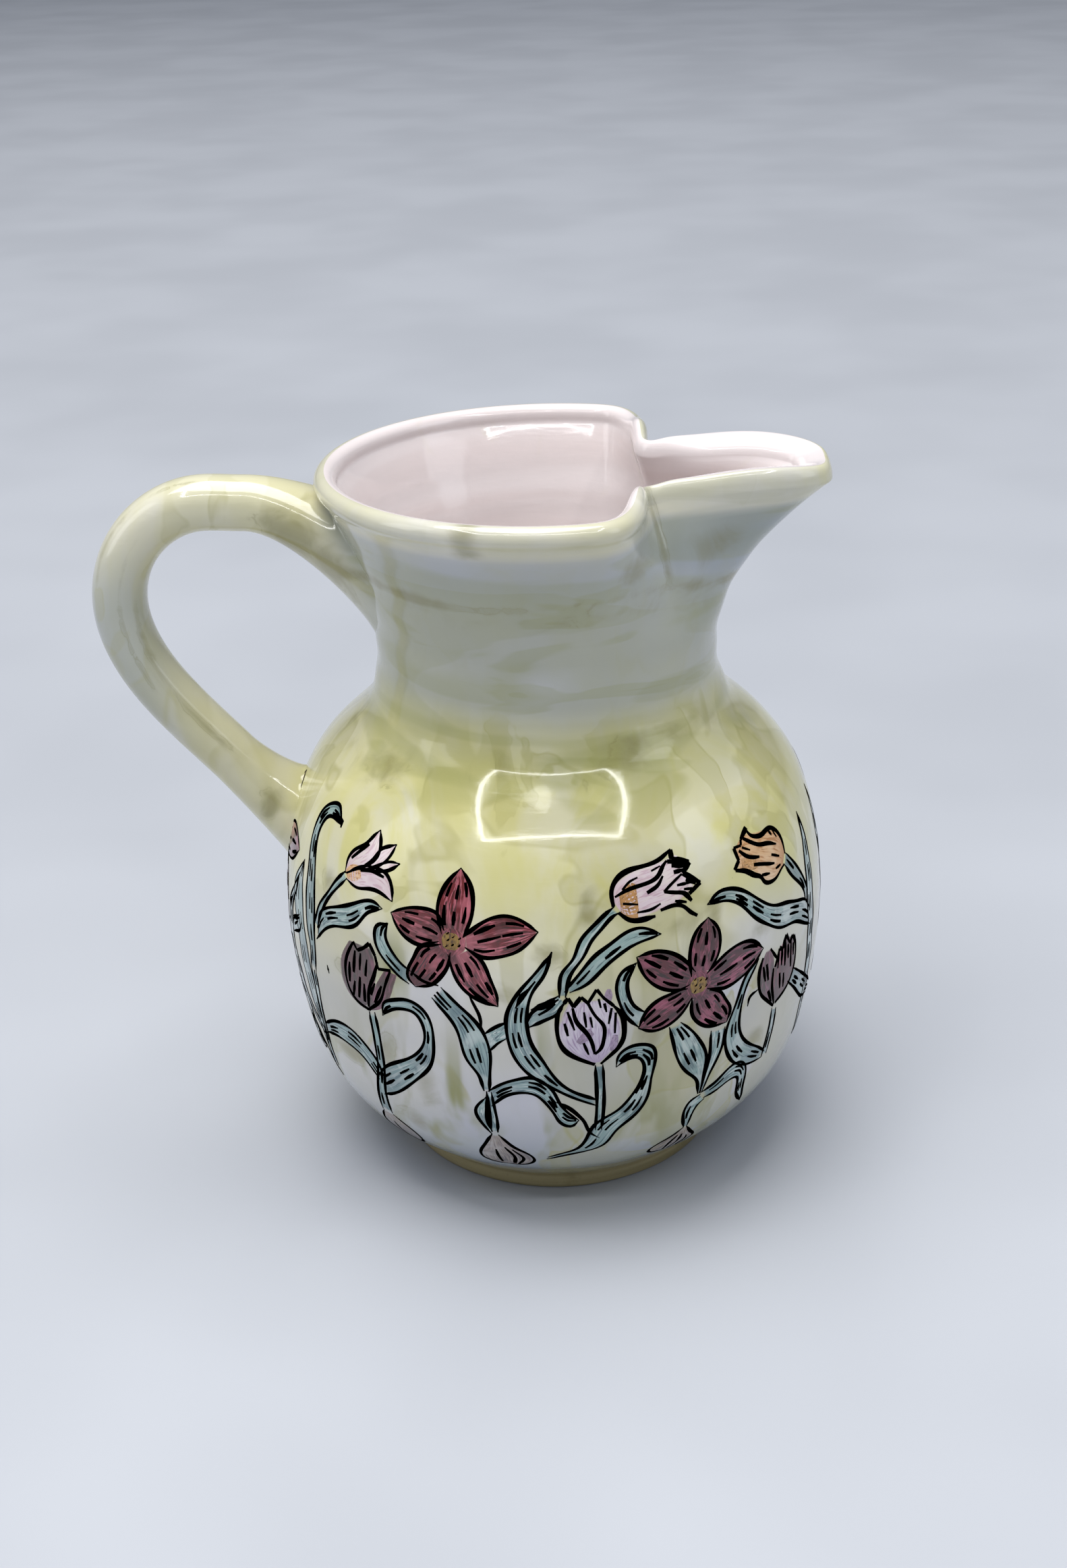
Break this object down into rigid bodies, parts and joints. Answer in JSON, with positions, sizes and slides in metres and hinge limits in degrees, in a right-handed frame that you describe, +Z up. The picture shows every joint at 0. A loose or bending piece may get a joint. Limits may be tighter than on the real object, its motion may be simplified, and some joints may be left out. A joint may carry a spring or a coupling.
{
  "type": "ceramic pitcher",
  "caption": "Glazed ceramic pitcher with a round belly, pulled channel spout, rolled lip and looped side handle, for holding and pouring liquid.",
  "frame": {"origin": "centre of the foot ring's resting face, on the axis of the belly", "axes": "+Z up, +X towards the spout, -X towards the handle, +Y by the right-hand rule"},
  "size_m": [0.1955, 0.15, 0.1974],
  "materials": {
    "foot_clay": "thin satin glaze over pale stoneware, slightly dry at the resting edge",
    "painted_glaze": "glossy cream glaze with yellow-green washes and brushed flower decoration",
    "cream_glaze": "glossy cream glaze with soft green and blue-grey pooling",
    "lip_glaze": "glossy warm white glaze, thin over the rolled edge",
    "handle_glaze": "glossy cream glaze with olive brush marks at the roots",
    "liner_glaze": "glossy pinkish white liner glaze",
    "flower_paint": "red, orange and violet underglaze washes under clear glaze",
    "leaf_paint": "pale blue-green underglaze wash under clear glaze",
    "outline_paint": "black brushed underglaze line under clear glaze"
  },
  "bodies": {
    "root": {"foot_ring": "foot_clay", "belly": "painted_glaze", "neck": "cream_glaze", "spout": "cream_glaze", "rolled_lip": "lip_glaze", "handle": "handle_glaze", "handle_neck_root": "handle_glaze", "handle_belly_root": "handle_glaze"}
  },
  "joints": []
}
